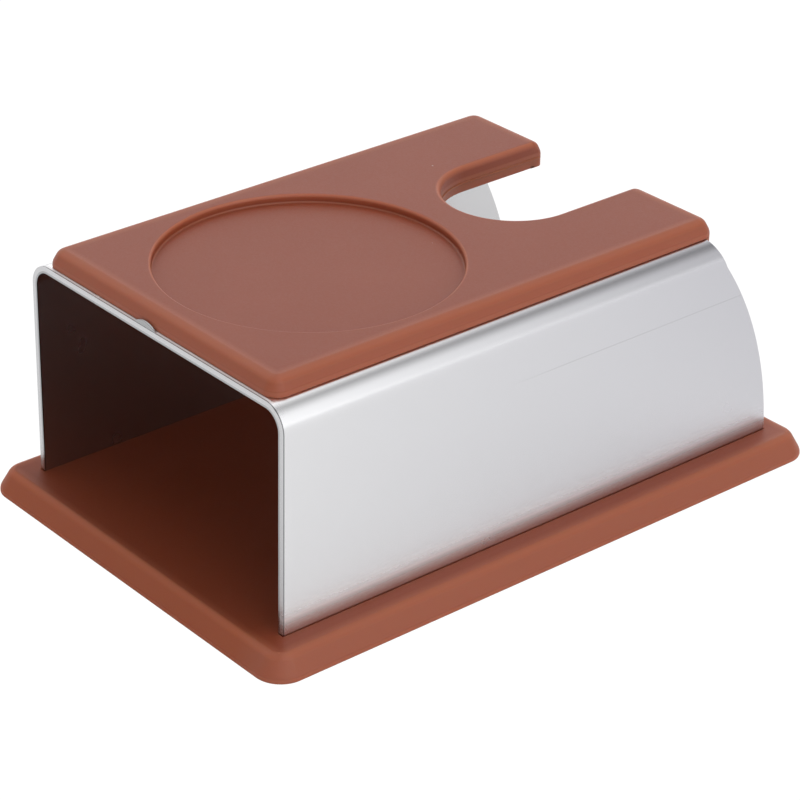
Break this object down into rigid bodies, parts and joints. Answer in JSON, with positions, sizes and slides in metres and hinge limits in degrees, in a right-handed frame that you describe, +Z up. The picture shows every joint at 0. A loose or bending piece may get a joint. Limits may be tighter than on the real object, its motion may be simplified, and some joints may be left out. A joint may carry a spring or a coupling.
{
  "type": "tamper stand",
  "caption": "Tamper stand: a bent steel bridge in a moulded base mat, topped by a moulded mat with a round recess for the tamper and a U notch open at the back.",
  "frame": {"origin": "on the ground under the middle of the base mat", "axes": "+Z up, +Y towards the notched end, +X to the right seen from the front, open end"},
  "size_m": [0.1, 0.15, 0.059],
  "materials": {
    "base_mat": "soft matt, moulded",
    "steel_frame": "fine satin brushing along the length",
    "top_mat": "soft matt, moulded"
  },
  "bodies": {
    "root": {"base_mat": "base_mat", "steel_frame": "steel_frame", "top_mat": "top_mat"}
  },
  "joints": []
}
